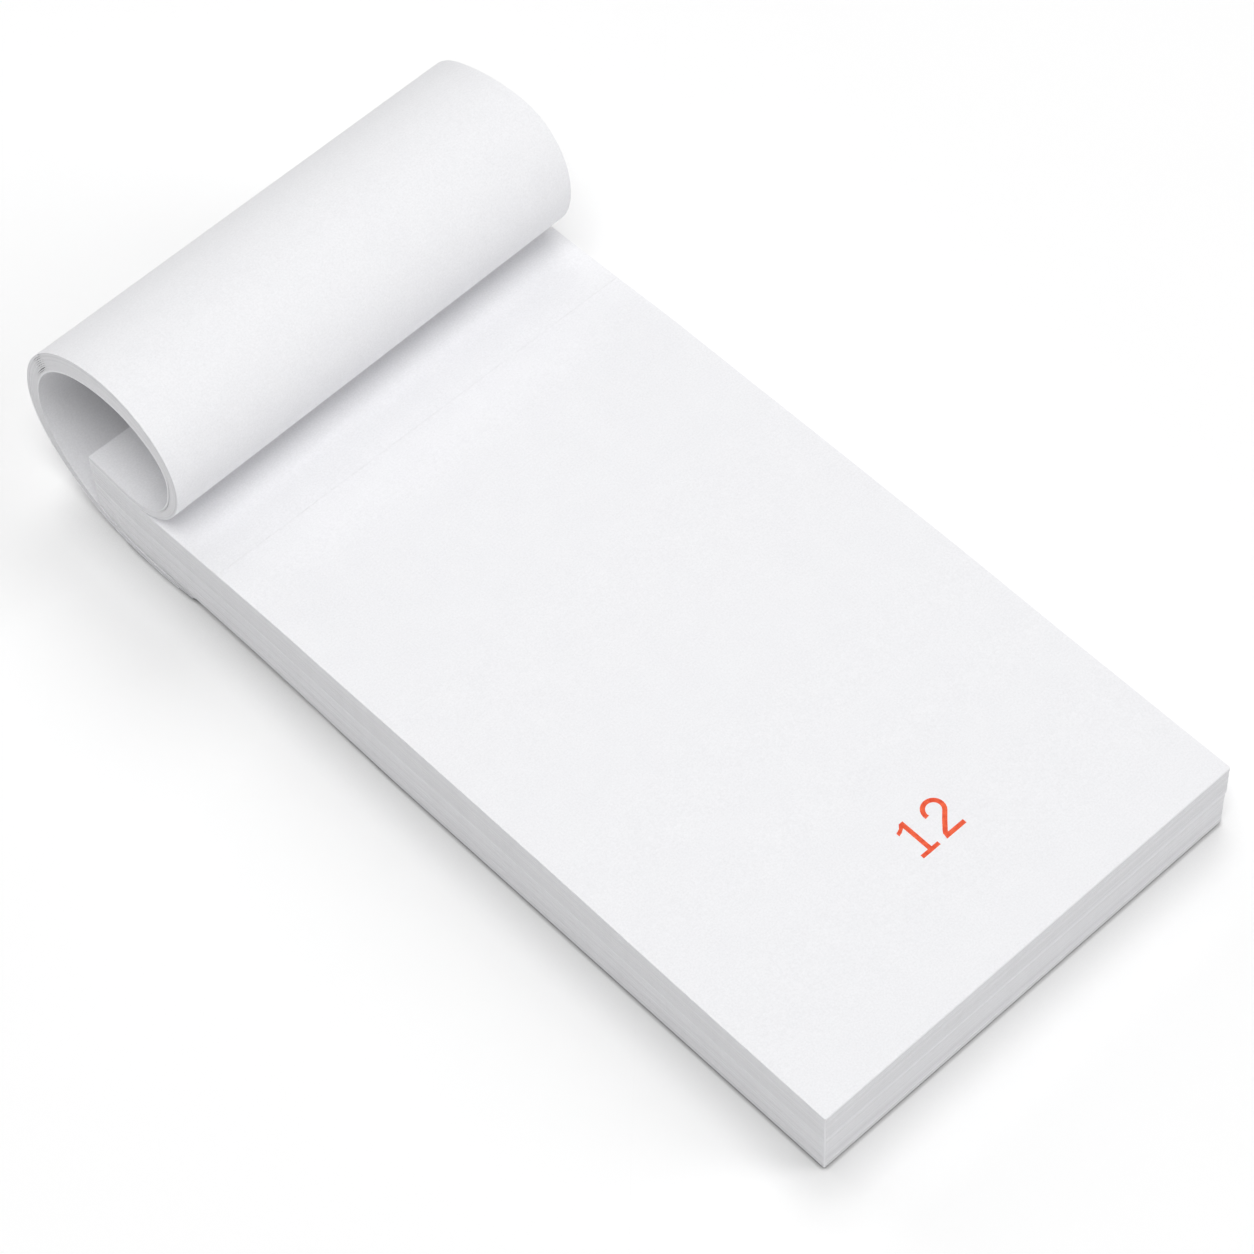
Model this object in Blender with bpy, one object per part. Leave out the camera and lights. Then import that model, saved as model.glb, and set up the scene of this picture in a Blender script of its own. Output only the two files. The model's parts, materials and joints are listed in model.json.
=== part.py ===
"""A waiter pad: order leaves stapled at the head, with the used leaves turned over and tucked under."""
import math

import bmesh
import bpy
from mathutils import Vector

MM = 0.001

# One leaf of paper, and the card behind the pad
LEAF_WIDTH = 66.0 * MM
LEAF_LENGTH = 127.0 * MM
PAPER = 0.07 * MM
CARD = 0.35 * MM

# How many leaves: those turned over, those that swing, those made singly and those made in bundles
TURNED_LEAVES = 11
SWINGING_LEAVES = 3
SINGLE_LEAVES = 10
BUNDLES = 19
BUNDLE_LEAVES = 4

# Air between two leaves of the flat pad: at the foot, the middle, the neck under the curl, the head
FOOT_AIR = 0.054 * MM
MIDDLE_AIR = 0.064 * MM
NECK_AIR = 0.041 * MM
HEAD_AIR = 0.022 * MM

# The lower half of the pad sits a little towards the foot and the left
SECTION_STEP = 0.25 * MM
UPPER_BUNDLES = 7

# The curl of turned leaves: places from the head edge, heights above the pad's neck
TURNED_LENGTH = 103.0 * MM
FREE_FROM = 7.8 * MM
FRONT_REACH = 18.4 * MM
FRONT_RISE = 11.4 * MM
CREST_REACH = 6.8 * MM
CREST_RISE = 21.6 * MM
BACK_REACH = 10.8 * MM
BACK_RISE = 4.7 * MM
DOWN_REACH = 10.0 * MM
LIFT_RUN = 30.0 * MM

# The curl's far end lies a little nearer the head, and its far edge is drawn in
FAR_BACK = 1.0 * MM
FAR_DRAW = 1.0 * MM

# Air between two turned leaves along the curl
STUB_AIR = 0.012 * MM
FRONT_AIR = 0.11 * MM
CREST_AIR = 0.25 * MM
BACK_AIR = 0.135 * MM
TAIL_AIR = 0.012 * MM

# Tear line: cuts with ties of paper between them
PERFORATION_FROM_HEAD = 24.0 * MM
CUT_LENGTH = 1.7 * MM
CUT_WIDTH = 0.3 * MM
TIE_LENGTH = 1.0 * MM
TIE_GAP = 0.04 * MM

# Wire staples
STAPLE_WIRE = 0.4 * MM
STAPLE_CROWN = 12.0 * MM
STAPLE_CLINCH = 4.5 * MM
STAPLE_FROM_SIDE = 11.0 * MM
STAPLE_FROM_HEAD = 5.0 * MM
LEG_CLEARANCE = 0.1 * MM
SEAT = 0.02 * MM

# Clearances between the stacks
SHEAF_GAP = 0.03 * MM
REST_GAP = 0.15 * MM

# How finely round stretches are divided, and which of their edges stay sharp
QUARTER_STEPS = 9
STRETCH_STEPS = 3
BEND_STEPS = 3
WIRE_RESOLUTION = 2
SHARP_DEGREES = 40

# Digits kept when two places along the pad, or two shares of its width, are compared
PLACE_DIGITS = 7
SHARE_DIGITS = 6

# Counts and levels that follow from the sizes above
FIRST_SWINGING = TURNED_LEAVES + 1
FIRST_SINGLE = FIRST_SWINGING + SWINGING_LEAVES
FIRST_BUNDLED = FIRST_SINGLE + SINGLE_LEAVES
FLAT_LEAVES = SWINGING_LEAVES + SINGLE_LEAVES + BUNDLES * BUNDLE_LEAVES

HEAD = LEAF_LENGTH / 2
FOOT = -LEAF_LENGTH / 2
LEFT = -LEAF_WIDTH / 2
NECK = HEAD - FREE_FROM
DOWN = HEAD - DOWN_REACH
PERFORATION = HEAD - PERFORATION_FROM_HEAD
STAPLE_LINE = HEAD - STAPLE_FROM_HEAD
LEG_HOLE = STAPLE_WIRE + 2 * LEG_CLEARANCE

STUB_PITCH = PAPER + STUB_AIR
TAIL_PITCH = PAPER + TAIL_AIR
CLINCH_STANDS_OUT = max(STAPLE_WIRE + 2 * SEAT - CARD, 0.0)
BLOCK_GAP = CLINCH_STANDS_OUT + REST_GAP
TAIL_TOP = TURNED_LEAVES * TAIL_PITCH + BLOCK_GAP
NECK_LEVEL = TAIL_TOP + CARD + FLAT_LEAVES * (PAPER + NECK_AIR)

# Finishes: colour, roughness and metallic value
PAPER_FINISH = ((0.86, 0.865, 0.88, 1.0), 0.85, 0.0)
CARD_FINISH = ((0.82, 0.82, 0.83, 1.0), 0.9, 0.0)
STEEL_FINISH = ((0.62, 0.62, 0.63, 1.0), 0.35, 1.0)


def clear_scene():
    for item in list(bpy.data.objects):
        bpy.data.objects.remove(item)


def ease(value, start, end):
    """Rise from 0 at start to 1 at end, level at both."""
    share = min(max((value - start) / (end - start), 0.0), 1.0)
    return share * share * (3.0 - 2.0 * share)


def blend(low, high, share):
    return low + (high - low) * share


def quarter(centre, reach, start_angle, end_angle):
    """Points of a quarter of an ellipse in the YZ plane, after its first."""
    points = []
    for step in range(1, QUARTER_STEPS + 1):
        angle = math.radians(blend(start_angle, end_angle, step / QUARTER_STEPS))
        points.append((centre[0] + reach[0] * math.cos(angle), centre[1] + reach[1] * math.sin(angle)))
    return points


def tail_level(number):
    """Height of a turned leaf's middle surface where it lies under the pad."""
    return (TURNED_LEAVES - number) * TAIL_PITCH + PAPER / 2


def curl_marks(number):
    """Front, crest and back of one turned leaf: leaf 1 is the innermost."""
    inward = TURNED_LEAVES - number
    front = HEAD - FRONT_REACH + inward * (PAPER + FRONT_AIR)
    crest = NECK_LEVEL + CREST_RISE - inward * (PAPER + CREST_AIR)
    back = HEAD + BACK_REACH - inward * (PAPER + BACK_AIR)
    return front, crest, back


def curl_points(number):
    """Middle surface of a turned leaf at the near edge, from the neck round to the tail."""
    front, crest, back = curl_marks(number)
    floor = stub_level(number, NECK)
    front_level = NECK_LEVEL + FRONT_RISE
    back_level = NECK_LEVEL + BACK_RISE
    crest_place = HEAD - CREST_REACH
    down_level = tail_level(number)
    points = [(NECK, floor)]
    points += quarter((NECK, front_level), (NECK - front, front_level - floor), 270, 180)
    points += quarter((crest_place, front_level), (crest_place - front, crest - front_level), 180, 90)
    points += quarter((crest_place, back_level), (back - crest_place, crest - back_level), 90, 0)
    points += quarter((DOWN, back_level), (back - DOWN, back_level - down_level), 360, 270)
    points.append((DOWN - LEAF_LENGTH, down_level))
    return points


def under_curl(place):
    """Height of the innermost turned leaf's middle surface where it passes under the pad."""
    back = curl_marks(1)[2]
    back_level = NECK_LEVEL + BACK_RISE
    share = min(max((place - DOWN) / (back - DOWN), 0.0), 1.0)
    drop = back_level - tail_level(1)
    return back_level - drop * math.sqrt(1.0 - share * share)


def cut_to_length(points, length):
    """Keep the start of a run of points, up to a length."""
    kept = [points[0]]
    for start, end in zip(points, points[1:]):
        step = math.dist(start, end)
        if step >= length:
            share = length / step
            kept.append((blend(start[0], end[0], share), blend(start[1], end[1], share)))
            break
        kept.append(end)
        length -= step
    return kept


def head_bottom():
    """Underside of the back card at the head edge."""
    return under_curl(HEAD) + PAPER / 2 + BLOCK_GAP


def stub_level(number, place):
    """Middle surface of a turned leaf where it lies on the pad's head."""
    rise = (HEAD_LEVEL - NECK_LEVEL) * ease(place, NECK, HEAD)
    return NECK_LEVEL + rise + SHEAF_GAP + (TURNED_LEAVES - number) * STUB_PITCH + PAPER / 2


def last_tip():
    """Where the innermost turned leaf ends under the pad."""
    return min(cut_to_length(curl_points(1), TURNED_LENGTH - FREE_FROM)[-1][0], DOWN)


def pad_bottom(place):
    """Underside of the back card: flat on the table, lifted by the tails, bent up at the head."""
    lift = TAIL_TOP * ease(place, LIFT_START, LIFT_END)
    bend = under_curl(place) - tail_level(1)
    return lift + bend


def pad_top(place):
    """Top of the upper flat leaf."""
    if place > NECK:
        return NECK_LEVEL + (HEAD_LEVEL - NECK_LEVEL) * ease(place, NECK, HEAD)
    lift = TAIL_TOP * ease(place, LIFT_START, LIFT_END)
    if place > 0:
        air = blend(MIDDLE_AIR, NECK_AIR, ease(place, 0.0, NECK))
    else:
        air = blend(FOOT_AIR, MIDDLE_AIR, ease(place, FOOT, 0.0))
    return lift + CARD + FLAT_LEAVES * (PAPER + air)


def leaf_top(number, place):
    """Top of a flat leaf: the pitch shares out what lies between the card and the upper leaf."""
    pitch = (pad_top(place) - pad_bottom(place) - CARD) / FLAT_LEAVES
    return pad_top(place) - (number - FIRST_SWINGING) * pitch


def stretch(start, end, steps):
    return [blend(start, end, step / steps) for step in range(steps + 1)]


def head_places():
    """Rows from the neck to the head, with the two rows beside the staple legs."""
    low = STAPLE_LINE - LEG_HOLE / 2
    high = STAPLE_LINE + LEG_HOLE / 2
    return [NECK, (NECK + low) / 2, low, high, (high + HEAD) / 2, HEAD]


def flat_places(start, end):
    """Rows of a flat leaf along the pad."""
    places = stretch(FOOT, LIFT_START, STRETCH_STEPS)
    places += stretch(LIFT_START, LIFT_END, STRETCH_STEPS)
    places += [PERFORATION, DOWN] + head_places()
    inside = [place for place in places if start + LEG_HOLE < place < end - LEG_HOLE]
    return sorted(set(round(place, PLACE_DIGITS) for place in inside + [start, end]))


def leg_places():
    """Across the pad: the two legs of each staple."""
    outer = LEAF_WIDTH / 2 - STAPLE_FROM_SIDE
    inner = outer - STAPLE_CROWN
    return [-outer, -inner, inner, outer]


def spans_between(holes, left):
    """Shares of a leaf's width that hold paper beside holes, given as (start, end) across the pad."""
    edges = [0.0]
    for start, end in holes:
        edges += [(start - left) / LEAF_WIDTH, (end - left) / LEAF_WIDTH]
    edges.append(1.0)
    return list(zip(edges[::2], edges[1::2]))


def leg_spans(left):
    return spans_between([(leg - LEG_HOLE / 2, leg + LEG_HOLE / 2) for leg in leg_places()], left)


def clinch_spans(left):
    """The card has slots that take the staples' bent ends."""
    slots = []
    for index, leg in enumerate(leg_places()):
        inward = STAPLE_CLINCH if index % 2 == 0 else -STAPLE_CLINCH
        ends = sorted((leg, leg + inward))
        slots.append((ends[0] - LEG_HOLE / 2, ends[1] + LEG_HOLE / 2))
    return spans_between(slots, left)


def tie_spans():
    """Shares of the width that hold the ties of a tear line."""
    count = int((LEAF_WIDTH - CUT_LENGTH) / (CUT_LENGTH + TIE_LENGTH))
    margin = (LEAF_WIDTH - count * TIE_LENGTH - (count - 1) * CUT_LENGTH) / 2
    spans = []
    for index in range(count):
        start = margin + index * (CUT_LENGTH + TIE_LENGTH)
        spans.append((start / LEAF_WIDTH, (start + TIE_LENGTH) / LEAF_WIDTH))
    return spans


def zipper(low, high):
    """Triangles between two rows of shares, as (row, index) corners."""
    first, second = 0, 0
    triangles = []
    while first < len(low) - 1 or second < len(high) - 1:
        low_left = first < len(low) - 1
        high_left = second < len(high) - 1
        if low_left and (not high_left or low[first + 1] <= high[second + 1]):
            triangles.append(((0, low[first]), (0, low[first + 1]), (1, high[second])))
            first += 1
        else:
            triangles.append(((0, low[first]), (1, high[second + 1]), (1, high[second])))
            second += 1
    return triangles


def rounded_spans(spans):
    return [(round(start, SHARE_DIGITS), round(end, SHARE_DIGITS)) for start, end in spans]


def covered(spans, start, end):
    return any(span[0] <= start and end <= span[1] for span in spans)


def sheet(name, rows, strips, finish, origin=(0.0, 0.0, 0.0)):
    """A closed thin sheet.

    Each row holds its upper and lower edge, as near and far points. Each strip between two rows
    holds the shares of the width that are paper, so gaps become holes, cuts or ties.
    """
    shape = bmesh.new()
    corners = {}
    shift = Vector(origin)

    def corner(row, share, side):
        key = (row, share, side)
        if key not in corners:
            near, far = rows[row][side]
            corners[key] = shape.verts.new(Vector(near).lerp(Vector(far), share) - shift)
        return corners[key]

    around = [[]] + [rounded_spans(spans) for spans in strips] + [[]]
    breaks = []
    for row in range(len(rows)):
        ends = around[row] + around[row + 1]
        breaks.append(sorted(set(edge for span in ends for edge in span)))
    for row in range(len(rows) - 1):
        for start, end in around[row + 1]:
            low = [edge for edge in breaks[row] if start <= edge <= end]
            high = [edge for edge in breaks[row + 1] if start <= edge <= end]
            for triangle in zipper(low, high):
                upper = [corner(row + up, share, 0) for up, share in triangle]
                lower = [corner(row + up, share, 1) for up, share in triangle]
                shape.faces.new(upper)
                shape.faces.new(lower[::-1])
            for edge in (start, end):
                shape.faces.new((corner(row, edge, 0), corner(row + 1, edge, 0),
                                 corner(row + 1, edge, 1), corner(row, edge, 1)))
    for row, edges in enumerate(breaks):
        for start, end in zip(edges, edges[1:]):
            if covered(around[row], start, end) != covered(around[row + 1], start, end):
                shape.faces.new((corner(row, start, 0), corner(row, end, 0),
                                 corner(row, end, 1), corner(row, start, 1)))
    bmesh.ops.recalc_face_normals(shape, faces=shape.faces)
    mesh = bpy.data.meshes.new(name)
    shape.to_mesh(mesh)
    shape.free()
    return place_object(name, mesh, finish, origin)


def place_object(name, data, finish, origin=(0.0, 0.0, 0.0)):
    item = bpy.data.objects.new(name, data)
    item.location = origin
    data.materials.append(finish)
    bpy.context.scene.collection.objects.link(item)
    return item


def make_finish(name, colour, roughness, metallic):
    finish = bpy.data.materials.new(name)
    finish.use_nodes = True
    shader = finish.node_tree.nodes["Principled BSDF"]
    shader.inputs["Base Color"].default_value = colour
    shader.inputs["Roughness"].default_value = roughness
    shader.inputs["Metallic"].default_value = metallic
    return finish


def flat_row(left, place, upper, lower):
    """Near and far points of a flat row's upper and lower edge."""
    right = left + LEAF_WIDTH
    return (((left, place, upper), (right, place, upper)),
            ((left, place, lower), (right, place, lower)))


def leaf_rows(left, places, first, last):
    """Rows from the top of one flat leaf to the underside of another, or of the same one."""
    return [flat_row(left, place, leaf_top(first, place), leaf_top(last, place) - PAPER) for place in places]


def flat_strips(places, at_staples):
    """Full width everywhere but in the strip of the staple legs."""
    low = round(STAPLE_LINE - LEG_HOLE / 2, PLACE_DIGITS)
    return [at_staples if place == low else [(0.0, 1.0)] for place in places[:-1]]


def flat_stack(name, first, count, step, finish):
    """One flat leaf, or a bundle of leaves that lie together."""
    places = flat_places(FOOT - step, HEAD - step)
    left = LEFT - step
    rows = leaf_rows(left, places, first, first + count - 1)
    return sheet(name, rows, flat_strips(places, leg_spans(left)), finish)


def swinging_leaf(number, finish):
    """The part of a leaf below the tear line: its origin is on the line, its ties reach to it."""
    places = flat_places(FOOT, PERFORATION - CUT_WIDTH / 2)
    places.append(PERFORATION - TIE_GAP / 2)
    strips = [[(0.0, 1.0)] for place in places[:-2]] + [tie_spans()]
    rows = leaf_rows(LEFT, places, number, number)
    hinge = (0.0, PERFORATION, pad_top(PERFORATION))
    return sheet(f"leaf_{number:02d}", rows, strips, finish, hinge)


def leaf_stub(number, finish):
    """The part of a leaf above the tear line, which the staples hold."""
    places = flat_places(PERFORATION + CUT_WIDTH / 2, HEAD)
    strips = [tie_spans()] + flat_strips(places, leg_spans(LEFT))
    places = [PERFORATION + TIE_GAP / 2] + places
    rows = leaf_rows(LEFT, places, number, number)
    return sheet(f"leaf_{number:02d}_stub", rows, strips, finish)


def curl_row(middle, normal, is_free):
    """A row of a turned leaf. Past the neck the far end lies nearer the head and is drawn in."""
    back = FAR_BACK if is_free else 0.0
    right = LEFT + LEAF_WIDTH - (FAR_DRAW if is_free else 0.0)
    sides = []
    for half in (PAPER / 2, -PAPER / 2):
        place = middle[0] + normal[0] * half
        level = middle[1] + normal[1] * half
        sides.append(((LEFT, place, level), (right, place + back, level)))
    return tuple(sides)


def turned_leaf(number, finish):
    """A used leaf: stapled at the head, curled up and back over the head, tucked under the pad."""
    stub = [round(place, PLACE_DIGITS) for place in reversed(head_places()[1:])]
    curl = cut_to_length(curl_points(number), TURNED_LENGTH - FREE_FROM)
    middles = [(place, stub_level(number, place)) for place in stub] + curl
    rows = []
    for index, middle in enumerate(middles):
        before = middles[max(index - 1, 0)]
        after = middles[min(index + 1, len(middles) - 1)]
        along = Vector((after[0] - before[0], after[1] - before[1])).normalized()
        rows.append(curl_row(middle, (along.y, -along.x), index >= len(stub)))
    high = round(STAPLE_LINE + LEG_HOLE / 2, PLACE_DIGITS)
    strips = [leg_spans(LEFT) if middle[0] == high else [(0.0, 1.0)] for middle in middles[:-1]]
    item = sheet(f"leaf_{number:02d}", rows, strips, finish)
    item.data.shade_smooth()
    item.data.set_sharp_from_angle(angle=math.radians(SHARP_DEGREES))
    return item


def back_card(finish):
    """The card behind the pad, with slots for the bent staple ends."""
    places = flat_places(FOOT - SECTION_STEP, HEAD - SECTION_STEP)
    left = LEFT - SECTION_STEP
    rows = [flat_row(left, place, pad_bottom(place) + CARD, pad_bottom(place)) for place in places]
    return sheet("back_card", rows, flat_strips(places, clinch_spans(left)), finish)


def bend(corner_x, corner_z, start_angle, end_angle, radius):
    """Points round one bend of the staple wire, in the XZ plane."""
    points = []
    for step in range(BEND_STEPS + 1):
        angle = math.radians(blend(start_angle, end_angle, step / BEND_STEPS))
        points.append((corner_x + radius * math.cos(angle), corner_z + radius * math.sin(angle)))
    return points


def staple(name, centre, finish):
    """A wire staple: crown on the turned leaves' stubs, legs through the pad, ends bent in the card."""
    half_wire = STAPLE_WIRE / 2
    radius = half_wire + SEAT
    crown = stub_level(1, STAPLE_LINE + half_wire) + PAPER / 2 + SEAT + half_wire
    ceiling = pad_bottom(STAPLE_LINE - half_wire) + CARD
    floor = under_curl(STAPLE_LINE + half_wire) + PAPER / 2
    clinch = (ceiling + floor) / 2
    leg = STAPLE_CROWN / 2
    run = [(-leg + STAPLE_CLINCH, clinch)]
    run += bend(-leg + radius, clinch + radius, 270, 180, radius)
    run += bend(-leg + radius, crown - radius, 180, 90, radius)
    run += [(-x, z) for x, z in reversed(run)]
    wire = bpy.data.curves.new(name, "CURVE")
    wire.dimensions = "3D"
    wire.bevel_depth = half_wire
    wire.bevel_resolution = WIRE_RESOLUTION
    wire.use_fill_caps = True
    spline = wire.splines.new("POLY")
    spline.points.add(len(run) - 1)
    for point, (x, z) in zip(spline.points, run):
        point.co = (x, 0.0, z, 1.0)
    return place_object(name, wire, finish, (centre, STAPLE_LINE, 0.0))


def build_pad():
    clear_scene()
    paper = make_finish("white_paper", *PAPER_FINISH)
    card = make_finish("white_card", *CARD_FINISH)
    steel = make_finish("staple_steel", *STEEL_FINISH)
    for number in range(1, FIRST_SWINGING):
        turned_leaf(number, paper)
    below = None
    for number in reversed(range(FIRST_SWINGING, FIRST_SINGLE)):
        leaf_stub(number, paper)
        leaf = swinging_leaf(number, paper)
        if below:
            leaf.parent = below
            leaf.location = (0.0, 0.0, 0.0)
        below = leaf
    for number in range(FIRST_SINGLE, FIRST_BUNDLED):
        flat_stack(f"leaf_{number:02d}", number, 1, 0.0, paper)
    for index in range(BUNDLES):
        first = FIRST_BUNDLED + index * BUNDLE_LEAVES
        step = 0.0 if index < UPPER_BUNDLES else SECTION_STEP
        name = f"leaves_{first:02d}_to_{first + BUNDLE_LEAVES - 1:02d}"
        flat_stack(name, first, BUNDLE_LEAVES, step, paper)
    back_card(card)
    centre = LEAF_WIDTH / 2 - STAPLE_FROM_SIDE - STAPLE_CROWN / 2
    staple("staple_left", -centre, steel)
    staple("staple_right", centre, steel)


# Levels that follow from the curl
HEAD_LEVEL = head_bottom() + CARD + FLAT_LEAVES * (PAPER + HEAD_AIR)
LIFT_END = last_tip()
LIFT_START = LIFT_END - LIFT_RUN

build_pad()
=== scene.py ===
"""Looks of a waiter pad: paper leaves, tear line, stamped numbers, staples, stage, light and camera."""
import json
import math
import random

import bmesh
import bpy
import numpy as np
from mathutils import Matrix, Vector


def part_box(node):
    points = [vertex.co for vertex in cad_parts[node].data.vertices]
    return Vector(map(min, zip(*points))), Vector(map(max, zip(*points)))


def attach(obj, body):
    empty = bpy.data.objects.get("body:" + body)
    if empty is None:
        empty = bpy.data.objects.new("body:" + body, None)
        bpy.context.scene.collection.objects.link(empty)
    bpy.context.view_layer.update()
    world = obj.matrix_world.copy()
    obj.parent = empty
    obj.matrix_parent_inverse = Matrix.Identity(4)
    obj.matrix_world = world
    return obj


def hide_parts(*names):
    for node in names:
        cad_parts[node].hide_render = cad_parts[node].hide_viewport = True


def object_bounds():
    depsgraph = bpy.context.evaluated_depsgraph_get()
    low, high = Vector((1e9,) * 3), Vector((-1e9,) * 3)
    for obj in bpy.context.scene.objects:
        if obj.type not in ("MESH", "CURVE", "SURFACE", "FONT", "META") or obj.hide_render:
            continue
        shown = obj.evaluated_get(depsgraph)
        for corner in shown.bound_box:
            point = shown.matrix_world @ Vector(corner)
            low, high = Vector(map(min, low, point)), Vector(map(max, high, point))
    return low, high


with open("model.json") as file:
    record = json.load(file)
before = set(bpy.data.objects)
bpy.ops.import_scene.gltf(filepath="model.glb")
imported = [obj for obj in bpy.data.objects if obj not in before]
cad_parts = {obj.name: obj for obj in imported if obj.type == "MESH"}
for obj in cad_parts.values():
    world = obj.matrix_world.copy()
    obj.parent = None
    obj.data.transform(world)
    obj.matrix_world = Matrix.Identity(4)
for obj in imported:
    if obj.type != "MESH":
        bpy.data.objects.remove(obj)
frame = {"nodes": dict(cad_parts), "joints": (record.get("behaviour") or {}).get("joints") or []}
CAD_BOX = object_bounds()

MM = 0.001

# The camera that took the photograph, in degrees, metres and pixels of its square picture
PICTURE_PIXELS = 1254
FOCAL_PIXELS = 4358.4
AZIMUTH = -41.145
ELEVATION = 54.662
ROLL = -2.804
DISTANCE = 526.6 * MM
ASIDE = -2.323 * MM
ABOVE = 4.737 * MM
SENSOR = 36.0

# Light: a pale room and four broad far lamps, each by its azimuth, elevation and share of white light
ROOM_LIGHT = 0.23
LAMPS = {"key_lamp": (-45.0, 70.0, 0.50), "fill_lamp": (45.0, 30.0, 0.25),
         "back_lamp": (135.0, 58.0, 0.16), "low_back_lamp": (180.0, 30.0, 0.10)}
LAMP_ANGLE = 30.0

# Floor: its size, how pale it is, how far it lies below the pad, and how much it is lifted towards white
FLOOR_SIZE = 6.0
FLOOR_LEVELS = 0.945, 0.95
FLOOR_DROP = 0.05 * MM
FLOOR_LIFT = 0.035

# Shades on the floor close to the pad: how far each reaches, and its darkest share of the floor's colour
CONTACT_SHADES = [(6.0 * MM, 0.5), (0.6 * MM, 0.05)]
SHADE_SAMPLES = 5

# Leaves by number: the turned ones come first, then the flat ones down to the card
TURNED = range(1, 12)
SWINGING = range(12, 15)
FIRST_FLAT = 12
LAST_LEAF = 100
PAPER = 0.07 * MM

# How much of the room that they share the leaves fill
FLAT_FILL = 0.93
CURL_FILL = 0.95

# Mesh rows: how far apart on flat leaves, how many between CAD rows on turned ones, and one without cuts
ROW_STEP = 2.5 * MM
CURL_STEPS = 3
LONGEST_STEP = 5.0 * MM
FULL_WIDTH = [(0.0, 1.0)]

# How unevenly the edges lie: flat leaves keep in groups, and each strays a little from its group
GROUP_SIZES = 1, 6
GROUP_INSET = 0.03 * MM
LEAF_INSET = 0.02 * MM
CURL_INSET = 0.02 * MM
CARD_INSET = 0.45 * MM
FLAT_SEED = 12
CURL_SEED = 11

# How far the lower half of the pad stands out, and how much the foot's corners are cut off
LEDGE = 0.03 * MM
CORNER_CUT = 0.12 * MM

# Tones of the cut edges, from 0 for the darkest to 1, and how far leaves differ; below the faces' white
# the edges carry painted shade between the sheets, deeper on the foot than on the sides
SIDE_SHADE_TONE = 0.75
FOOT_SHADE_TONE = 0.39
CURL_SHADE_TONES = (0.6, 0.85)
CARD_SHADE_TONE = 0.5
TONE_SPREAD = 0.3
GROUP_SHARE = 0.6
# Painted highlight: lighter edges for the top leaves, the foot's cut corners and the roll's rims
HIGHLIGHT_TONE = 0.95
TOP_LEAVES = 2

# How an edge's tone drifts along the pad: features per metre, and how far apart two leaves' patterns lie
DRIFT_SCALE = 45.0
DRIFT_STEP = 90.0

# The loose ends' edges darken between these CAD rows: painted shade under the pad
TAIL_SHADE_TONE = 0.42
TAIL_SHADE_ROWS = (30, 37)

# How far the near edges of the loose ends draw back under the pad, by their place along it
TAIL_PLACES = (45.5 * MM, 45.7 * MM, 51.0 * MM)
TAIL_SETBACKS = (0.8 * MM, 0.25 * MM, 0.0)

# Air between the turned leaves at the roll's near end: the leaves, the CAD row, how many rows, the share
CURL_GAPS = [(range(3, 10), 28.4, 0.45, 0.2),
             (range(2, 4), 28.9, 0.6, 0.3),
             (range(10, 11), 27.8, 0.4, 0.3),
             (range(2, 3), 13.0, 4.0, 0.6)]

# How far a turned leaf's corners may lie from the outermost one to count as its side, and from each other
# to count as the two faces of the paper
NEAR_SIDE = 0.2 * MM
FAR_SIDE = 1.5 * MM
PAIR_REACH = 1.5 * PAPER

# The roll's far end by CAD row: where its edge lies across the pad, and how far it leans towards the head
NECK_ROW = 5
FAR_EDGE = [(5.0, 32.0 * MM), (13.0, 32.2 * MM), (19.5, 32.85 * MM), (25.0, 32.25 * MM),
            (28.5, 33.0 * MM), (32.0, 33.0 * MM), (41.0, 32.0 * MM)]
FAR_LEAN = [(5.0, 0.0), (10.0, 0.58 * MM), (16.0, 0.58 * MM), (27.0, 0.0)]

# Tear line: fine cuts with ties between them
CUT_LENGTH = 0.9 * MM
TIE_LENGTH = 0.6 * MM
CUT_WIDTH = 0.014 * MM
TIE_GAP = 0.004 * MM

# How far a leaf lies below its stub at the tear line, and over what length it rises again
TEAR_DROP = 0.022 * MM
DROP_REACH = 1.0 * MM

# Stamped numbers: upright strokes of one width, placed by the first digit's stem and the baseline
DIGIT_HEIGHT = 5.2 * MM
DIGIT_STROKE = 0.61 * MM
DIGIT_STEP = 3.98 * MM
INK_THICKNESS = 0.006 * MM
NUMBER_X = 0.33 * MM
NUMBER_Y = -47.5 * MM
ARC_STEP = 8.0
SHARPEST_MITRE = 0.4


def node_corners(node):
    """A CAD node's corners, in metres."""
    mesh = frame["nodes"][node].data
    values = np.empty(len(mesh.vertices) * 3, dtype=np.float32)
    mesh.vertices.foreach_get("co", values)
    return values.reshape(-1, 3).astype(float)


def round_tangents(steps, slopes):
    """Slopes at the inner knots of a round curve: those of a parabola through three neighbours."""
    return (slopes[:-1] * steps[1:] + slopes[1:] * steps[:-1]) / (steps[:-1] + steps[1:])


def level_tangents(steps, slopes):
    """Slopes at the inner knots of a line with level stretches: level there, so it never overshoots."""
    first, second = slopes[:-1], slopes[1:]
    turning = first * second <= 0.0
    first = np.where(turning, 1.0, first)
    second = np.where(turning, 1.0, second)
    near, far = 2.0 * steps[1:] + steps[:-1], steps[1:] + 2.0 * steps[:-1]
    return np.where(turning, 0.0, (near + far) / (near / first + far / second))


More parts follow.
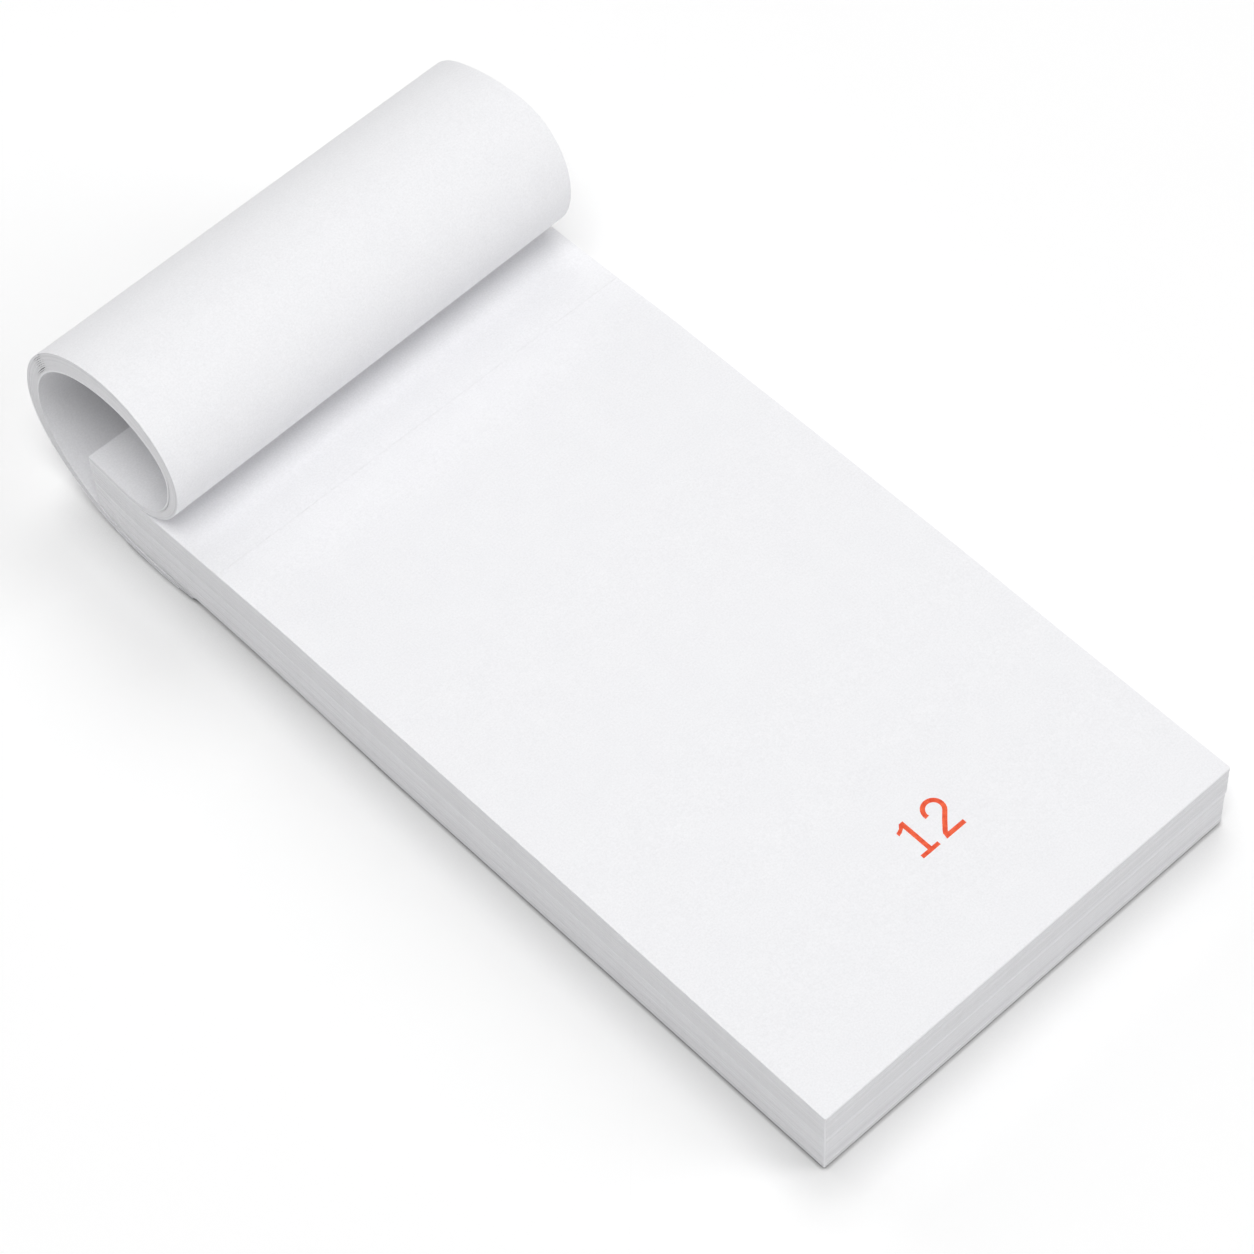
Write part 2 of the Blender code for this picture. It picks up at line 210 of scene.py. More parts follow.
def smooth_line(knots, values, inner_tangents):
    """A smooth curve through values given at knots, as a function that stays within their range."""
    steps = np.diff(knots)
    slopes = np.diff(values) / steps
    tangents = np.concatenate([slopes[:1], inner_tangents(steps, slopes), slopes[-1:]])
    lowest, highest = values.min(), values.max()

    def value_at(knot):
        index = int(np.clip(np.searchsorted(knots, knot) - 1, 0, len(steps) - 1))
        step = steps[index]
        share = min(max((knot - knots[index]) / step, 0.0), 1.0)
        rise = values[index + 1] - values[index]
        start = tangents[index] * step - rise
        end = tangents[index + 1] * step - rise
        bend = share * (1.0 - share) * ((1.0 - share) * start - share * end)
        return float(np.clip(values[index] + rise * share + bend, lowest, highest))

    return value_at


def level_line(nodes, pick):
    """Heights along the pad of the highest or lowest corners of some nodes."""
    levels = {}
    for node in nodes:
        for x, y, z in node_corners(node):
            levels.setdefault(round(y, 6), []).append(z)
    places = np.array(sorted(levels))
    return smooth_line(places, np.array([pick(levels[place]) for place in places]), level_tangents)


# Places and levels read from the CAD model
LEFT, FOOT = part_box("leaf_12")[0][:2]
RIGHT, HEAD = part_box("leaf_12_stub")[1][:2]
TEAR = frame["joints"][0]["pos_m"][1]
PAD_TOP = level_line(["leaf_12", "leaf_12_stub"], max)
CARD_TOP = level_line(["back_card"], max)
CARD_BOTTOM = level_line(["back_card"], min)


def tear_drop(place):
    """How far a leaf lies below its stub: most at the tear line, and less towards the foot."""
    if place >= TEAR:
        return 0.0
    return TEAR_DROP * max(1.0 - (TEAR - place) / DROP_REACH, 0.0)


def leaf_level(number, place):
    """Top of a flat leaf: the leaves share what lies between the card and the upper one."""
    top = PAD_TOP(place) - tear_drop(place)
    pitch = (top - CARD_TOP(place)) / (LAST_LEAF - FIRST_FLAT + 1)
    return top - (number - FIRST_FLAT) * pitch


def leaf_underside(number, place):
    top, below = leaf_level(number, place), leaf_level(number + 1, place)
    return top - FLAT_FILL * (top - below)


def zipper(low, high):
    """Triangles between two rows of shares, as (row, share) corners."""
    first, second = 0, 0
    triangles = []
    while first < len(low) - 1 or second < len(high) - 1:
        low_left = first < len(low) - 1
        high_left = second < len(high) - 1
        if low_left and (not high_left or low[first + 1] <= high[second + 1]):
            triangles.append(((0, low[first]), (0, low[first + 1]), (1, high[second])))
            first += 1
        else:
            triangles.append(((0, low[first]), (1, high[second + 1]), (1, high[second])))
            second += 1
    return triangles


def covered(spans, start, end):
    return any(span[0] <= start and end <= span[1] for span in spans)


def add_sheet(shape, rows, strips, side_tones, end_tone):
    """Add a closed thin sheet to a mesh: rows of (near, far) points for both sides, and strips of paper.

    Each strip between two rows holds the shares of the width that are paper, so gaps become cuts.
    Edge faces get the second material, and a tone for the sides of each strip and for the ends.
    """
    tones = shape.faces.layers.float.get("leaf_tone") or shape.faces.layers.float.new("leaf_tone")
    corners = {}

    def corner(row, share, side):
        if (row, share, side) not in corners:
            near, far = rows[row][side]
            corners[row, share, side] = shape.verts.new(Vector(near).lerp(Vector(far), share))
        return corners[row, share, side]

    def add_face(points, edge_tone=None):
        face = shape.faces.new(points)
        face.material_index = 0 if edge_tone is None else 1
        face.smooth = edge_tone is None
        face[tones] = edge_tone or 0.0

    around = [[]] + strips + [[]]
    breaks = []
    for row in range(len(rows)):
        breaks.append(sorted(set(edge for span in around[row] + around[row + 1] for edge in span)))
    for row in range(len(rows) - 1):
        for start, end in around[row + 1]:
            low = [edge for edge in breaks[row] if start <= edge <= end]
            high = [edge for edge in breaks[row + 1] if start <= edge <= end]
            for triangle in zipper(low, high):
                add_face([corner(row + up, share, 0) for up, share in triangle])
                add_face([corner(row + up, share, 1) for up, share in reversed(triangle)])
            for edge in (start, end):
                add_face((corner(row, edge, 0), corner(row + 1, edge, 0),
                          corner(row + 1, edge, 1), corner(row, edge, 1)), side_tones[row])
    for row, edges in enumerate(breaks):
        for start, end in zip(edges, edges[1:]):
            if covered(around[row], start, end) != covered(around[row + 1], start, end):
                add_face((corner(row, start, 0), corner(row, end, 0),
                          corner(row, end, 1), corner(row, start, 1)), end_tone)


def make_piece(name, shape, materials, body, node):
    """Turn a mesh under construction into a piece that rides on a body and stands for a CAD node."""
    bmesh.ops.recalc_face_normals(shape, faces=shape.faces)
    for edge in shape.edges:
        edge.smooth = all(face.smooth for face in edge.link_faces)
    mesh = bpy.data.meshes.new(name)
    shape.to_mesh(mesh)
    shape.free()
    piece = bpy.data.objects.new(name, mesh)
    for material in materials:
        mesh.materials.append(material)
    bpy.context.scene.collection.objects.link(piece)
    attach(piece, body)
    if node:
        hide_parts(node)
    return piece


def add_node(tree, kind, **constants):
    """A shader node with constants on its sockets."""
    item = tree.nodes.new(kind)
    for name, value in constants.items():
        item.inputs[name].default_value = value
    return item


def new_material(name):
    material = bpy.data.materials.new(name)
    material.use_nodes = True
    tree = material.node_tree
    return material, tree, tree.nodes["Principled BSDF"]


def noise(tree, place, scale, detail, roughness):
    """A noise texture over the object's own space, in features per metre."""
    item = add_node(tree, "ShaderNodeTexNoise", Scale=scale, Detail=detail, Roughness=roughness)
    tree.links.new(place, item.inputs["Vector"])
    return item.outputs["Fac"]


def ramp(tree, factor, low, high, low_colour, high_colour):
    """Two colours, mixed by where a factor lies between a low and a high value."""
    item = tree.nodes.new("ShaderNodeValToRGB")
    tree.links.new(factor, item.inputs["Fac"])
    item.color_ramp.elements[0].position = low
    item.color_ramp.elements[0].color = (*low_colour, 1.0)
    item.color_ramp.elements[1].position = high
    item.color_ramp.elements[1].color = (*high_colour, 1.0)
    return item.outputs["Color"]


def stretched(tree, place, scale):
    item = tree.nodes.new("ShaderNodeMapping")
    item.inputs["Scale"].default_value = scale
    tree.links.new(place, item.inputs["Vector"])
    return item.outputs["Vector"]


def multiply(tree, first, second):
    """One colour times another."""
    item = tree.nodes.new("ShaderNodeMix")
    item.data_type = "RGBA"
    item.blend_type = "MULTIPLY"
    item.inputs["Factor"].default_value = 1.0
    tree.links.new(first, item.inputs["A"])
    tree.links.new(second, item.inputs["B"])
    return item.outputs["Result"]


def calculate(tree, operation, *values):
    """The result of a maths node, whose values are numbers or the outputs of other nodes."""
    item = tree.nodes.new("ShaderNodeMath")
    item.operation = operation
    for socket, value in zip(item.inputs, values):
        if isinstance(value, bpy.types.NodeSocket):
            tree.links.new(value, socket)
        else:
            socket.default_value = value
    return item.outputs["Value"]


def grey(level):
    return (level, level, level)


def paper_material(name, colour, shade):
    """Uncoated white paper: cloudy fibre spread, fine tooth and a matte, slightly uneven face."""
    material, tree, shader = new_material(name)
    place = tree.nodes.new("ShaderNodeTexCoord").outputs["Object"]
    clouds = noise(tree, place, scale=240.0, detail=5.0, roughness=0.6)
    felt = noise(tree, place, scale=1400.0, detail=3.0, roughness=0.6)
    tooth = noise(tree, place, scale=4200.0, detail=3.0, roughness=0.65)
    strands = stretched(tree, place, (900.0, 3600.0, 3600.0))
    fibres = noise(tree, strands, scale=1.0, detail=2.0, roughness=0.6)
    cloudy = ramp(tree, clouds, 0.3, 0.7, shade, colour)
    speckle = ramp(tree, tooth, 0.3, 0.7, grey(0.92), grey(1.0))
    tree.links.new(multiply(tree, cloudy, speckle), shader.inputs["Base Color"])
    rough = ramp(tree, fibres, 0.2, 0.8, grey(0.78), grey(0.92))
    tree.links.new(rough, shader.inputs["Roughness"])
    shader.inputs["Specular IOR Level"].default_value = 0.25
    bump = add_node(tree, "ShaderNodeBump", Strength=0.6, Distance=0.025 * MM)
    fine = calculate(tree, "MULTIPLY_ADD", fibres, 0.6, tooth)
    tree.links.new(calculate(tree, "MULTIPLY_ADD", felt, 1.2, fine), bump.inputs["Height"])
    tree.links.new(bump.outputs["Normal"], shader.inputs["Normal"])
    return material


def edge_material(name, colour, shade):
    """Cut edges of paper: each leaf a tone of its own, with painted shade at the dark end and painted
    highlight at the light end, and fine streaks left by the knife.
    """
    material, tree, shader = new_material(name)
    place = tree.nodes.new("ShaderNodeTexCoord").outputs["Object"]
    tone = tree.nodes.new("ShaderNodeAttribute")
    tone.attribute_name = "leaf_tone"
    leaf = ramp(tree, tone.outputs["Fac"], 0.0, 1.0, shade, colour)
    drift = add_node(tree, "ShaderNodeTexNoise", Scale=DRIFT_SCALE)
    drift.noise_dimensions = "4D"
    tree.links.new(place, drift.inputs["Vector"])
    tree.links.new(calculate(tree, "MULTIPLY", tone.outputs["Fac"], DRIFT_STEP), drift.inputs["W"])
    lines = ramp(tree, drift.outputs["Fac"], 0.3, 0.7, grey(0.93), grey(1.0))
    scratches = stretched(tree, place, (700.0, 700.0, 60.0))
    knife = noise(tree, scratches, scale=1.0, detail=3.0, roughness=0.6)
    streaks = ramp(tree, knife, 0.25, 0.75, grey(0.97), grey(1.0))
    marked = multiply(tree, multiply(tree, leaf, lines), streaks)
    tree.links.new(marked, shader.inputs["Base Color"])
    rough = ramp(tree, knife, 0.2, 0.8, grey(0.85), grey(0.97))
    tree.links.new(rough, shader.inputs["Roughness"])
    shader.inputs["Specular IOR Level"].default_value = 0.15
    return material


def ink_material():
    """Red numbering ink: thinner and lighter in patches where the paper's tooth kept it off."""
    material, tree, shader = new_material("number_ink")
    place = tree.nodes.new("ShaderNodeTexCoord").outputs["Object"]
    patches = noise(tree, place, scale=1500.0, detail=4.0, roughness=0.6)
    film = ramp(tree, patches, 0.34, 0.7, (0.72, 0.06, 0.02), (0.93, 0.155, 0.06))
    tree.links.new(film, shader.inputs["Base Color"])
    rough = ramp(tree, patches, 0.2, 0.8, grey(0.5), grey(0.7))
    tree.links.new(rough, shader.inputs["Roughness"])
    shader.inputs["Specular IOR Level"].default_value = 0.3
    return material


def steel_material():
    """Drawn staple wire: bright steel with fine lines along it."""
    material, tree, shader = new_material("staple_wire")
    place = tree.nodes.new("ShaderNodeTexCoord").outputs["Object"]
    drawn = stretched(tree, place, (300.0, 9000.0, 9000.0))
    lines = noise(tree, drawn, scale=1.0, detail=2.0, roughness=0.5)
    colour = ramp(tree, lines, 0.3, 0.7, (0.52, 0.52, 0.53), (0.66, 0.66, 0.67))
    tree.links.new(colour, shader.inputs["Base Color"])
    rough = ramp(tree, lines, 0.2, 0.8, grey(0.25), grey(0.42))
    tree.links.new(rough, shader.inputs["Roughness"])
    shader.inputs["Metallic"].default_value = 1.0
    return material


def seen_strength(tree, seen, unseen):
    """One strength where the camera or a reflection looks, and another for the light on things."""
    rays = tree.nodes.new("ShaderNodeLightPath")
    total = rays.outputs["Is Camera Ray"]
    for kind in ("Is Glossy Ray", "Is Transmission Ray"):
        total = calculate(tree, "MAXIMUM", total, rays.outputs[kind])
    return calculate(tree, "MULTIPLY_ADD", total, seen - unseen, unseen)


def floor_material():
    """Pale table: darker close to the pad, and lifted towards white where it is seen."""
    material, tree, shader = new_material("pale_table")
    place = tree.nodes.new("ShaderNodeTexCoord").outputs["Object"]
    clouds = noise(tree, place, scale=30.0, detail=2.0, roughness=0.5)
    colour = ramp(tree, clouds, 0.3, 0.7, *map(grey, FLOOR_LEVELS))
    for reach, share in CONTACT_SHADES:
        near = add_node(tree, "ShaderNodeAmbientOcclusion", Distance=reach)
        near.samples = SHADE_SAMPLES
        shade = ramp(tree, near.outputs["AO"], 0.0, 1.0, grey(share), grey(1.0))
        colour = multiply(tree, colour, shade)
    tree.links.new(colour, shader.inputs["Base Color"])
    shader.inputs["Roughness"].default_value = 0.9
    shader.inputs["Specular IOR Level"].default_value = 0.0
    shader.inputs["Emission Color"].default_value = (1.0, 1.0, 1.0, 1.0)
    tree.links.new(seen_strength(tree, FLOOR_LIFT, 0.0), shader.inputs["Emission Strength"])
    return material


PAPER_FACE = paper_material("leaf_paper", (0.92, 0.92, 0.938), (0.905, 0.905, 0.925))
# The edges' dark colours are painted shade between the sheets, on the leaves and on the card
PAPER_EDGE = edge_material("leaf_edges", (0.935, 0.935, 0.955), (0.64, 0.64, 0.655))
CARD_FACE = paper_material("card_face", (0.86, 0.86, 0.87), (0.82, 0.82, 0.83))
CARD_EDGE = edge_material("card_edges", (0.84, 0.84, 0.855), (0.68, 0.68, 0.695))
INK = ink_material()
WIRE = steel_material()


def flat_row(near, far, place, upper, lower):
    return (((near, place, upper), (far, place, upper)), ((near, place, lower), (far, place, lower)))


def flat_places(start, end):
    """Rows of a flat leaf, at the same steps for all leaves."""
    count = int((HEAD - FOOT) / ROW_STEP)
    inside = [FOOT + step * (HEAD - FOOT) / count for step in range(1, count)]
    inside = sorted(inside + [TEAR - DROP_REACH, TEAR - TIE_GAP / 2, TEAR + TIE_GAP / 2])
    return [start] + [place for place in inside if start < place < end] + [end]


def uneven_edges():
    """Insets of the flat leaves at the left, right and foot, and their tones: leaves keep in groups."""
    draw = random.Random(FLAT_SEED)
    edges = {}
    number = FIRST_FLAT
    while number <= LAST_LEAF:
        group = [draw.uniform(0.0, GROUP_INSET) for side in range(3)]
        group_tone = draw.uniform(-0.5, 0.5)
        size = draw.randint(*GROUP_SIZES)
        for leaf in range(number, number + size):
            insets = [inset + draw.uniform(0.0, LEAF_INSET) for inset in group]
            tone = GROUP_SHARE * group_tone + (1.0 - GROUP_SHARE) * draw.uniform(-0.5, 0.5)
            edges[leaf] = insets, TONE_SPREAD * tone
        number += size
    return edges


EDGES = uneven_edges()


def tie_spans(width):
    """Shares of the width that hold the ties of a tear line."""
    pitch = CUT_LENGTH + TIE_LENGTH
    count = int(width / pitch)
    margin = (width - count * pitch + CUT_LENGTH) / 2
    starts = [margin + index * pitch for index in range(count)]
    return [(round(start / width, 6), round((start + TIE_LENGTH) / width, 6)) for start in starts]


def add_flat_leaf(shape, number, node, start, end, lead=None, trail=None):
    """Add one flat leaf between two places. A lead or trail is the place that its tear ties reach to."""
    low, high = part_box(node)
    (left, right, foot), tone = EDGES[number]
    near, far = max(low.x, LEFT - LEDGE) + left, min(high.x, RIGHT + LEDGE) - right
    is_top = number < FIRST_FLAT + TOP_LEAVES
    # The top leaves get a painted highlight on their edges
    side_tone = HIGHLIGHT_TONE if is_top else SIDE_SHADE_TONE + tone
    foot_tone = HIGHLIGHT_TONE if is_top else FOOT_SHADE_TONE + tone
    has_foot = start < 0
    if has_foot:
        start = max(start, FOOT - LEDGE) + foot
    places = flat_places(start, end)
    widths = [(near, far)] * len(places)
    if has_foot:
        places.insert(1, start + CORNER_CUT)
        widths.insert(0, (near + CORNER_CUT, far - CORNER_CUT))
    strips = [FULL_WIDTH] * (len(places) - 1)
    if lead is not None:
        places, widths = [lead] + places, [(near, far)] + widths
        strips = [tie_spans(far - near)] + strips
    if trail is not None:
        places, widths = places + [trail], widths + [(near, far)]
        strips = strips + [tie_spans(far - near)]
    rows = [flat_row(*width, place, leaf_level(number, place), leaf_underside(number, place))
            for width, place in zip(widths, places)]
    side_tones = [side_tone] * len(strips)
    # The foot's cut corner gets a painted highlight
    if has_foot:
        side_tones[0] = HIGHLIGHT_TONE
    add_sheet(shape, rows, strips, side_tones, foot_tone)


def flat_leaves():
    """The flat leaves: the hinged ones and their stubs, the single ones and the bundles."""
    materials = [PAPER_FACE, PAPER_EDGE]
    for number in SWINGING:
        name = f"leaf_{number:02d}"
        shape = bmesh.new()
        add_flat_leaf(shape, number, name, FOOT, TEAR - CUT_WIDTH / 2, trail=TEAR - TIE_GAP / 2)
        make_piece(f"{name}_sheet", shape, materials, name, name)
        stub = f"{name}_stub"
        shape = bmesh.new()
        add_flat_leaf(shape, number, stub, TEAR + CUT_WIDTH / 2, HEAD, lead=TEAR + TIE_GAP / 2)
        make_piece(f"{stub}_sheet", shape, materials, "pad", stub)
    for node in sorted(frame["nodes"]):
        numbers = [int(word) for word in node.split("_") if word.isdigit()]
        if not numbers or numbers[0] <= max(SWINGING):
            continue
        low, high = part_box(node)
        shape = bmesh.new()
        for number in range(numbers[0], numbers[-1] + 1):
            add_flat_leaf(shape, number, node, low.y, high.y)
        make_piece(f"{node}_sheets", shape, materials, "pad", node)


def back_card():
    low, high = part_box("back_card")
    rows = [flat_row(low.x + CARD_INSET, high.x - CARD_INSET, place, CARD_TOP(place), CARD_BOTTOM(place))
            for place in flat_places(low.y + CARD_INSET, high.y)]
    shape = bmesh.new()
    steps = len(rows) - 1
    add_sheet(shape, rows, [FULL_WIDTH] * steps, [CARD_SHADE_TONE] * steps, CARD_SHADE_TONE)
    make_piece("back_card_sheet", shape, [CARD_FACE, CARD_EDGE], "pad", "back_card")


def side_line(node, pick, reach):
    """The middle of a turned leaf along one side edge, as points from its head end to its tail."""
    corners = node_corners(node)
    side = pick(corners[:, 0])
    corners = corners[np.abs(corners[:, 0] - side) < reach]
    middles = []
    for point in corners:
        pair = corners[np.linalg.norm(corners - point, axis=1) < PAIR_REACH]
        middles.append(tuple(np.round(pair.mean(axis=0), 7)))
    left = [np.array(middle) for middle in sorted(set(middles))]
    head = np.array((side, HEAD, PAD_TOP(HEAD)))
    line = [left.pop(int(np.argmin([np.linalg.norm(point - head) for point in left])))]
    while left:
        gaps = [np.linalg.norm(point - line[-1]) for point in left]
        line.append(left.pop(int(np.argmin(gaps))))
    return np.array(line)


def refined(line):
    """More points on a smooth curve through a line's points, with long straight steps divided first."""
    points = [line[0]]
    for start, end in zip(line, line[1:]):
        pieces = int(math.ceil(np.linalg.norm(end - start) / LONGEST_STEP))
        points += [start + (end - start) * piece / pieces for piece in range(1, pieces + 1)]
    points = np.array(points)
    lengths = np.concatenate([[0.0], np.cumsum(np.linalg.norm(np.diff(points, axis=0), axis=1))])
    fine = np.interp(np.arange((len(lengths) - 1) * CURL_STEPS + 1) / CURL_STEPS,
                     np.arange(len(lengths)), lengths)
    across = np.interp(fine, lengths, points[:, 0])
    curves = [smooth_line(lengths, points[:, axis], round_tangents) for axis in (1, 2)]
    return np.stack([across] + [[curve(length) for length in fine] for curve in curves], axis=1)


def inward(line):
    """Unit normals of a side line in the YZ plane, towards the hollow of the roll."""
    along = np.gradient(line[:, 1:], axis=0)
    along /= np.linalg.norm(along, axis=1)[:, None]
    return np.stack([np.zeros(len(line)), along[:, 1], -along[:, 0]], axis=1)


def far_end(line):
    """A far side line of a turned leaf, with the roll's end uneven and leaning a little."""
    edge = smooth_line(*np.array(FAR_EDGE).T, level_tangents)
    lean = smooth_line(*np.array(FAR_LEAN).T, level_tangents)
    for index in range(NECK_ROW * CURL_STEPS, len(line)):
        row = index / CURL_STEPS
        line[index] = edge(row), line[index, 1] + lean(row), line[index, 2]
    return line


def curl_fill(number, stages):
    """Share of the room to the next leaf that a turned leaf fills, less where air shows between them."""
    fill = np.full(len(stages), CURL_FILL)
    for numbers, middle, reach, share in CURL_GAPS:
        if number in numbers:
            fill -= share * np.exp(-((stages - middle) / reach) ** 2)
    return fill


def turned_lines():
    """Near and far side line of each turned leaf."""
    lines = {}
    for number in TURNED:
        name = f"leaf_{number:02d}"
        near = refined(side_line(name, min, NEAR_SIDE))
        far = refined(side_line(name, max, FAR_SIDE))
        lines[number] = near, far_end(far)
    return lines


def turned_faces(number, line, beyond):
    """Inner and outer face of a turned leaf along one side, filling most of the room to the next leaf."""
    half = PAPER / 2
    normals = inward(line)
    reach = np.full(len(line), PAPER)
    if beyond is not None:
        rows = min(len(line), len(beyond))
        gap = np.einsum("ij,ij->i", (line[:rows] - beyond[:rows]), normals[:rows])
        fill = curl_fill(number, np.arange(rows) / CURL_STEPS)
        reach[:rows] = np.maximum(gap * fill, half)
        reach[rows:] = reach[rows - 1]
    inner = line + normals * half
    outer = inner - normals * reach[:, None]
    outer[:, 2] = np.maximum(outer[:, 2], CAD_BOX[0].z)
    return inner, outer


def turned_leaves():
    """The used leaves, packed into a roll, with loose ends under the pad."""
    draw = random.Random(CURL_SEED)
    lines = turned_lines()
    for number in TURNED:
        near, far = lines[number]
        near_beyond, far_beyond = lines.get(number + 1, (None, None))
        near_inner, near_outer = turned_faces(number, near, near_beyond)
        far_inner, far_outer = turned_faces(number, far, far_beyond)
        # The roll's innermost and outermost leaves get a painted highlight on their edges
        is_rim = number in (min(TURNED), max(TURNED))
        inset = 0.0 if is_rim else CURL_INSET + draw.uniform(0.0, CURL_INSET)
        tone = HIGHLIGHT_TONE if is_rim else draw.uniform(*CURL_SHADE_TONES)
        for edge in (near_inner, near_outer):
            edge[:, 0] += inset
            tail = edge[:, 2] < CARD_TOP(HEAD)
            edge[tail, 0] += np.interp(edge[tail, 1], TAIL_PLACES, TAIL_SETBACKS)
        rows = list(zip(zip(near_inner, far_inner), zip(near_outer, far_outer)))
        steps = len(rows) - 1
        # The loose ends' edges fade to painted shade under the pad
        tones = np.interp(np.arange(steps) / CURL_STEPS, TAIL_SHADE_ROWS, (tone, TAIL_SHADE_TONE))
        shape = bmesh.new()
        add_sheet(shape, rows, [FULL_WIDTH] * steps, tones, TAIL_SHADE_TONE)
        name = f"leaf_{number:02d}"
        make_piece(f"{name}_sheet", shape, [PAPER_FACE, PAPER_EDGE], "pad", name)


def arc(centre, radius, start, end):
    """Points along an arc from one angle to another, in degrees."""
    count = max(int(abs(end - start) / ARC_STEP), 1)
    angles = [math.radians(start + (end - start) * step / count) for step in range(count + 1)]
    return [(centre[0] + radius * math.cos(angle), centre[1] + radius * math.sin(angle))
            for angle in angles]


def stroke_outline(path, width):
    """The outline of a pen stroke of one width along a path, with square ends and mitred corners."""
    points = [Vector(point) for point in path]
    left, right = [], []
    for index, point in enumerate(points):
        before = (point - points[max(index - 1, 0)]).normalized()
        after = (points[min(index + 1, len(points) - 1)] - point).normalized()
        along = (before + after).normalized()
        across = Vector((-along.y, along.x))
        turn = (before if index else after).dot(along)
        reach = width / 2 / max(turn, SHARPEST_MITRE)
        left.append(point + across * reach)
        right.append(point - across * reach)
    return [tuple(point) for point in left + right[::-1]]


def digit_one():
    """Stem with a curved flag and a foot serif, as one outline."""
    half = DIGIT_STROKE / 2
    foot = DIGIT_STROKE * 0.9
    top = DIGIT_HEIGHT
    flag = [(-half, top), (-0.72 * MM, top - 0.46 * MM), (-1.4 * MM, top - 0.7 * MM),
            (-1.38 * MM, top - 1.2 * MM), (-0.85 * MM, top - 1.04 * MM), (-half, top - 0.72 * MM)]
    return [[(half, top)] + flag + [(-half, foot), (-1.5 * MM, foot), (-1.5 * MM, 0.0),
                                    (1.25 * MM, 0.0), (1.25 * MM, foot), (half, foot)]]


def digit_two():
    """Hook, bowl, diagonal and base in one stroke."""
    half = DIGIT_STROKE / 2
    bowl = arc((0.04 * MM, 3.84 * MM), 1.285 * MM, 191, -45)
    diagonal = [(0.5 * MM, 2.5 * MM), (-0.1 * MM, 1.92 * MM),
                (-1.0 * MM, 0.98 * MM), (-1.22 * MM, 0.7 * MM)]
    base = [(-1.3 * MM, half), (1.5 * MM, half)]
    return [stroke_outline(bowl + diagonal + base, DIGIT_STROKE)]


def digit_three():
    """Flat top, diagonal and one bowl, in one stroke."""
    half = DIGIT_STROKE / 2
    bowl = arc((0.0, 1.6 * MM), 1.35 * MM, 80, -150)
    path = [(-1.2 * MM, DIGIT_HEIGHT - half), (1.15 * MM, DIGIT_HEIGHT - half)] + bowl
    return [stroke_outline(path, DIGIT_STROKE)]


def digit_four():
    """Stem, bar and diagonal, with the open space between them."""
    half = DIGIT_STROKE / 2
    bar = 1.25 * MM
    stem = 0.55 * MM
    left = -1.5 * MM
    right = 1.4 * MM
    outside = [(stem + half, DIGIT_HEIGHT), (stem - half, DIGIT_HEIGHT), (left, bar + half),
               (left, bar - half), (stem - half, bar - half), (stem - half, 0.0), (stem + half, 0.0),
               (stem + half, bar - half), (right, bar - half), (right, bar + half),
               (stem + half, bar + half)]
    inside = [(stem - half, bar + half), (stem - half, DIGIT_HEIGHT - 1.0 * MM),
              (left + 0.75 * MM, bar + half)]
    return [outside, inside]


def stamped_number(number, digits):
    """A number on a hinged leaf: flat strokes of ink that lie on its face."""
    shape = bmesh.new()
    for index, loops in enumerate(digits):
        start = NUMBER_X + index * DIGIT_STEP
        edges = []
        for loop in loops:
            verts = [shape.verts.new((start + x, NUMBER_Y + y, 0.0)) for x, y in loop]
            edges += [shape.edges.new((verts[step - 1], verts[step])) for step in range(len(verts))]
        bmesh.ops.triangle_fill(shape, use_beauty=True, edges=edges)
    top = bmesh.ops.extrude_face_region(shape, geom=list(shape.faces))
    raised = set(item for item in top["geom"] if isinstance(item, bmesh.types.BMVert))
    for vert in shape.verts:
        vert.co.z = leaf_level(number, vert.co.y) + (INK_THICKNESS if vert in raised else 0.0)
    make_piece(f"number_{number}", shape, [INK], f"leaf_{number:02d}", None)


def staples():
    for node in ("staple_left", "staple_right"):
        for slot in frame["nodes"][node].material_slots:
            slot.material = WIRE


def stage():
    """A pale floor that reaches past the picture."""
    mesh = bpy.data.meshes.new("floor")
    half = FLOOR_SIZE / 2
    mesh.from_pydata([(-half, -half, 0.0), (half, -half, 0.0), (half, half, 0.0), (-half, half, 0.0)], [],
                     [(0, 1, 2, 3)])
    mesh.materials.append(floor_material())
    floor = bpy.data.objects.new("floor", mesh)
    floor.location.z = CAD_BOX[0].z - FLOOR_DROP
    bpy.context.scene.collection.objects.link(floor)


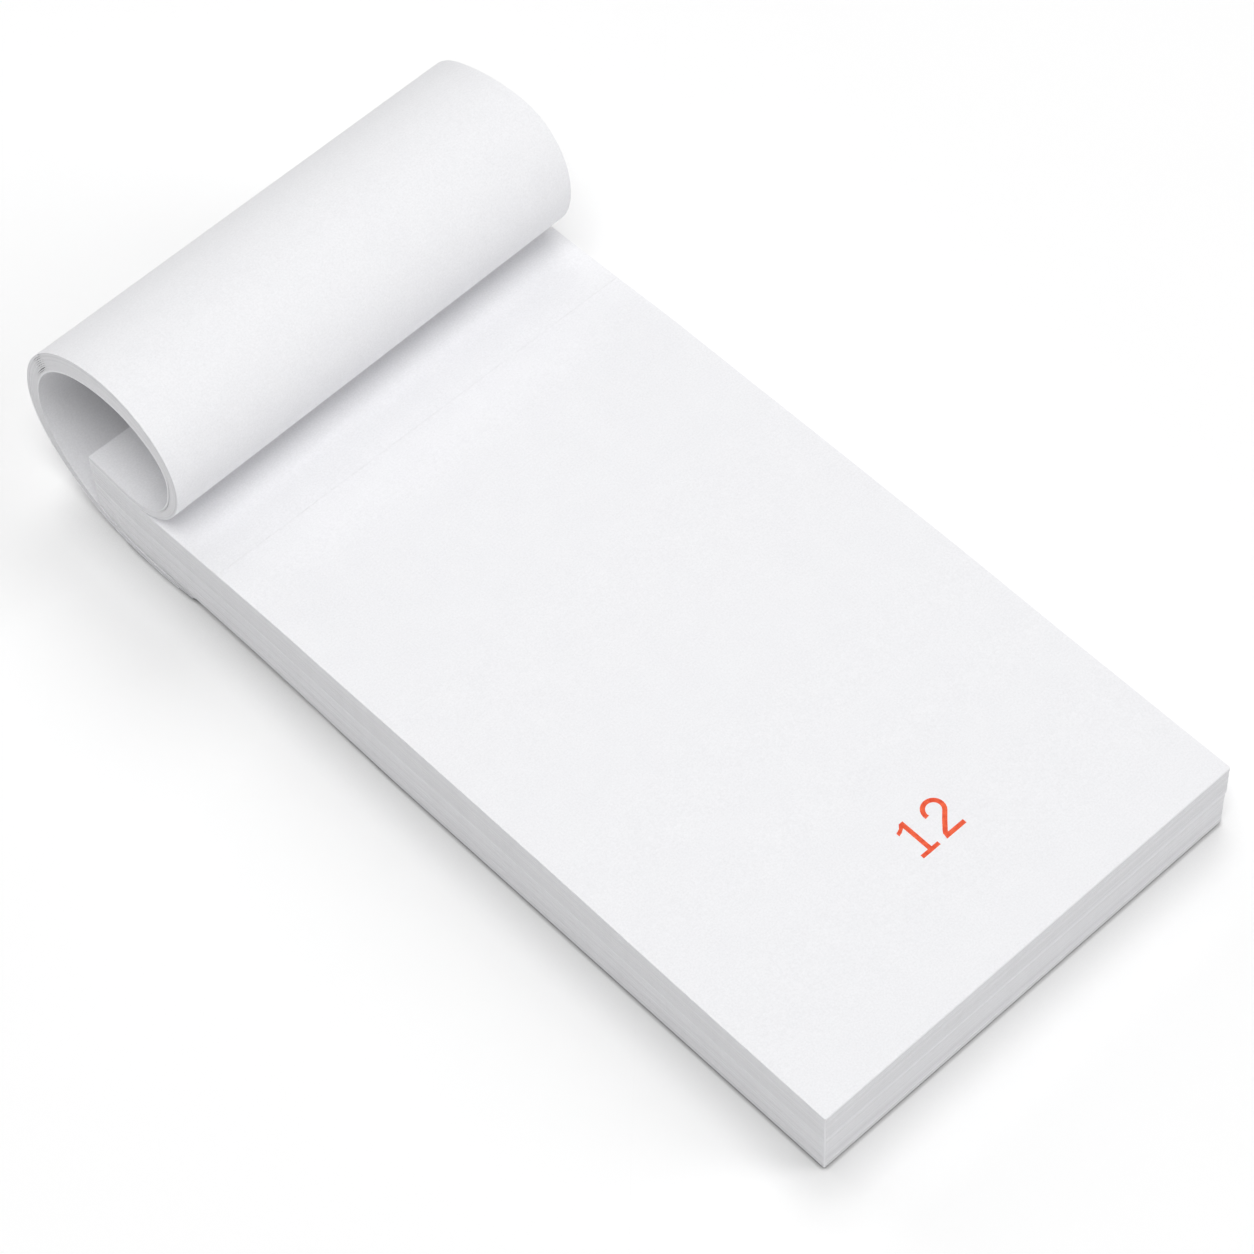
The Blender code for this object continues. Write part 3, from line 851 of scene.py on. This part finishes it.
def direction(azimuth, elevation):
    """A unit vector from the pad, with the azimuth counted from the foot's side towards the right."""
    azimuth, elevation = math.radians(azimuth), math.radians(elevation)
    return Vector((math.sin(azimuth) * math.cos(elevation), -math.cos(azimuth) * math.cos(elevation),
                   math.sin(elevation)))


def light():
    """An even room that looks white, and the lamps, so far away that they light the pad evenly."""
    world = bpy.data.worlds.new("room")
    world.use_nodes = True
    tree = world.node_tree
    background = tree.nodes["Background"]
    background.inputs["Color"].default_value = (1.0, 1.0, 1.0, 1.0)
    tree.links.new(seen_strength(tree, 1.0, ROOM_LIGHT), background.inputs["Strength"])
    bpy.context.scene.world = world
    for name, (azimuth, elevation, share) in LAMPS.items():
        lamp = bpy.data.lights.new(name, "SUN")
        lamp.angle = math.radians(LAMP_ANGLE)
        lamp.energy = math.pi * share
        item = bpy.data.objects.new(name, lamp)
        item.rotation_euler = direction(azimuth, elevation).to_track_quat("Z", "Y").to_euler()
        bpy.context.scene.collection.objects.link(item)


def camera():
    """The photograph's camera: turned round the pad's middle, rolled, and moved in its own plane."""
    back = direction(AZIMUTH, ELEVATION)
    right = Vector((0.0, 0.0, 1.0)).cross(back).normalized()
    up = back.cross(right)
    roll = math.radians(ROLL)
    turned = [right * math.cos(roll) + up * math.sin(roll),
              up * math.cos(roll) - right * math.sin(roll), back]
    lens = bpy.data.cameras.new("camera")
    lens.sensor_width = SENSOR
    lens.lens = SENSOR * FOCAL_PIXELS / PICTURE_PIXELS
    item = bpy.data.objects.new("camera", lens)
    place = turned[2] * DISTANCE + turned[0] * ASIDE + turned[1] * ABOVE
    item.matrix_world = Matrix.Translation(place) @ Matrix(turned).transposed().to_4x4()
    bpy.context.scene.collection.objects.link(item)
    bpy.context.scene.camera = item


turned_leaves()
flat_leaves()
back_card()
staples()
stamped_number(12, [digit_one(), digit_two()])
stamped_number(13, [digit_one(), digit_three()])
stamped_number(14, [digit_one(), digit_four()])
stage()
light()
camera()
bpy.context.scene.view_settings.view_transform = "Standard"
